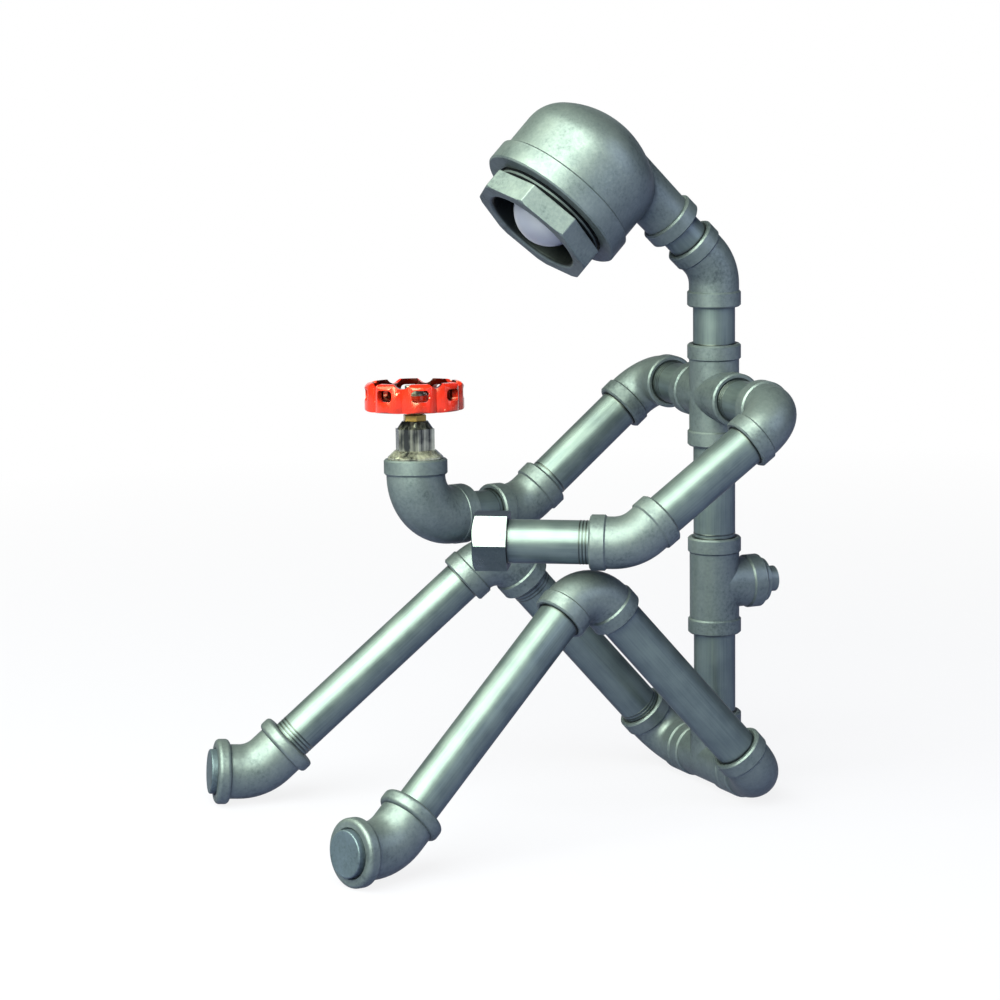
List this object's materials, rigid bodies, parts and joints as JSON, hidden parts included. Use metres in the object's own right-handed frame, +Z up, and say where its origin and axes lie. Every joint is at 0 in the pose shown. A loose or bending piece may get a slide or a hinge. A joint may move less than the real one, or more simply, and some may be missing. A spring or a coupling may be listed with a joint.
{
  "type": "robot shaped desk lamp",
  "caption": "Seated robot figure of galvanised pipe fittings: the elbow head holds a frosted globe lamp, and the right hand is a valve whose red handwheel works the switch.",
  "frame": {"origin": "on the desk, on the axis of the upright pipe", "axes": "+Z up, -Y the way the figure faces and its feet point, +X to the figure's left hand"},
  "size_m": [0.2027, 0.2864, 0.3537],
  "materials": {
    "galvanised_casting": "hot-dip galvanised casting, softly mottled",
    "galvanised_pipe": "galvanised tube with a satin zinc coat",
    "dark_plug": "dark zinc-coated casting",
    "chrome": "polished plated brass",
    "brass": "turned bare brass",
    "red_enamel": "gloss red enamel over a casting, chipped at the edges",
    "steel_hardware": "bright zinc-plated steel",
    "frosted_glass": "frosted glass with a pale violet cast",
    "lamp_cap": "pressed sheet metal",
    "switch_plastic": "moulded heat-proof plastic",
    "lead": "black flexible sheath"
  },
  "bodies": {
    "frame": {"hip_tee": "galvanised_casting", "lower_spine_pipe": "galvanised_pipe", "waist_tee": "galvanised_casting", "cord_inlet_plug": "galvanised_casting", "upper_spine_pipe": "galvanised_pipe", "shoulder_cross": "galvanised_casting", "lead_spine": "lead", "lead_branch": "lead", "left_hip_nipple": "galvanised_pipe", "left_hip_elbow": "galvanised_casting", "left_thigh_pipe": "galvanised_pipe", "left_knee_elbow": "galvanised_casting", "left_shin_pipe": "galvanised_pipe", "left_foot_elbow": "galvanised_casting", "left_foot_plug": "dark_plug", "right_hip_nipple": "galvanised_pipe", "right_hip_elbow": "galvanised_casting", "right_thigh_pipe": "galvanised_pipe", "right_knee_elbow": "galvanised_casting", "right_shin_pipe": "galvanised_pipe", "right_foot_elbow": "galvanised_casting", "right_foot_plug": "dark_plug"},
    "neck": {"neck_pipe": "galvanised_pipe", "neck_elbow": "galvanised_casting", "lead_neck": "lead"},
    "head": {"head_nipple": "galvanised_pipe", "head_elbow": "galvanised_casting", "head_bushing": "galvanised_casting", "holder_bracket": "lamp_cap", "lamp_holder": "switch_plastic", "bulb_cap": "lamp_cap", "bulb_glass": "frosted_glass", "lead_head": "lead"},
    "left_arm": {"left_shoulder_nipple": "galvanised_pipe", "left_shoulder_elbow": "galvanised_casting", "left_upper_arm": "galvanised_pipe", "left_arm_elbow": "galvanised_casting", "left_forearm": "galvanised_pipe", "left_hand_cap": "galvanised_casting"},
    "right_arm": {"right_shoulder_nipple": "galvanised_pipe", "right_shoulder_elbow": "galvanised_casting", "right_upper_arm": "galvanised_pipe", "right_arm_elbow": "galvanised_casting", "right_forearm": "galvanised_pipe", "right_hand_elbow": "galvanised_casting", "valve_bonnet": "chrome", "packing_nut": "brass", "rotary_switch": "switch_plastic", "lead_arm": "lead"},
    "handwheel": {"handwheel": "red_enamel", "wheel_washer": "steel_hardware", "wheel_nut": "steel_hardware", "valve_stem": "steel_hardware"}
  },
  "joints": [
    {"name": "neck_turn", "type": "hinge", "parent": "frame", "child": "neck", "pos_m": [0, 0, 0.2294], "axis": [0, 0, 1], "range_deg": [-60, 60]},
    {"name": "head_turn", "type": "hinge", "parent": "neck", "child": "head", "pos_m": [0, 0, 0.2684], "axis": [0, -0.7071, 0.7071], "range_deg": [-45, 45]},
    {"name": "left_shoulder_swing", "type": "hinge", "parent": "frame", "child": "left_arm", "pos_m": [0.026, 0, 0.2034], "axis": [-1, 0, 0], "range_deg": [0, 50]},
    {"name": "right_shoulder_swing", "type": "hinge", "parent": "frame", "child": "right_arm", "pos_m": [-0.026, 0, 0.2034], "axis": [-1, 0, 0], "range_deg": [0, 40]},
    {"name": "handwheel_turn", "type": "hinge", "parent": "right_arm", "child": "handwheel", "pos_m": [-0.05536, -0.14163, 0.17282], "axis": [-0.0618, 0.0222, 0.9978], "range_deg": [0, 300]}
  ]
}
